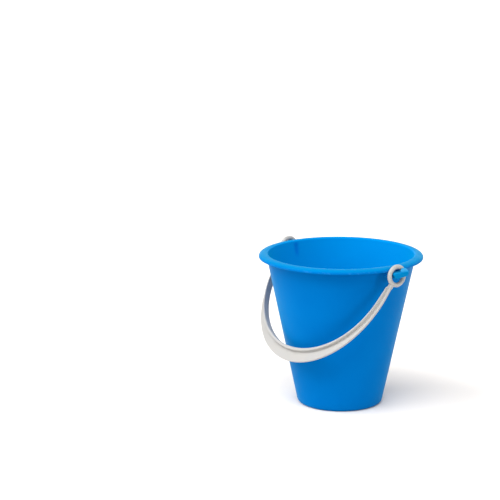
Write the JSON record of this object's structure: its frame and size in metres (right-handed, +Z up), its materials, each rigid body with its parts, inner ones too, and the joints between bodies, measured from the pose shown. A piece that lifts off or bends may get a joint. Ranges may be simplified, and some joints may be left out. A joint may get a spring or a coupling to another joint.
{
  "type": "sand bucket",
  "caption": "Tapered toy sand bucket with a rolled rim, hook lugs and a swinging bail handle with a ring at each end.",
  "frame": {"origin": "centre of the foot ring, on the surface that the bucket stands on", "axes": "+Z up; X along the handle's hinge line, through both lugs; the lowered handle lies on the -Y side"},
  "size_m": [0.1662, 0.15, 0.1425],
  "materials": {
    "tub": "satin injection-moulded polypropylene, bright blue",
    "handle": "satin injection-moulded polypropylene, off-white"
  },
  "bodies": {
    "tub": {"tub": "tub"},
    "handle": {"handle": "handle"}
  },
  "joints": [
    {"name": "handle_swing", "type": "hinge", "parent": "tub", "child": "handle", "pos_m": [0, 0, 0.1323], "axis": [-1, 0, 0], "range_deg": [0, 286]}
  ]
}
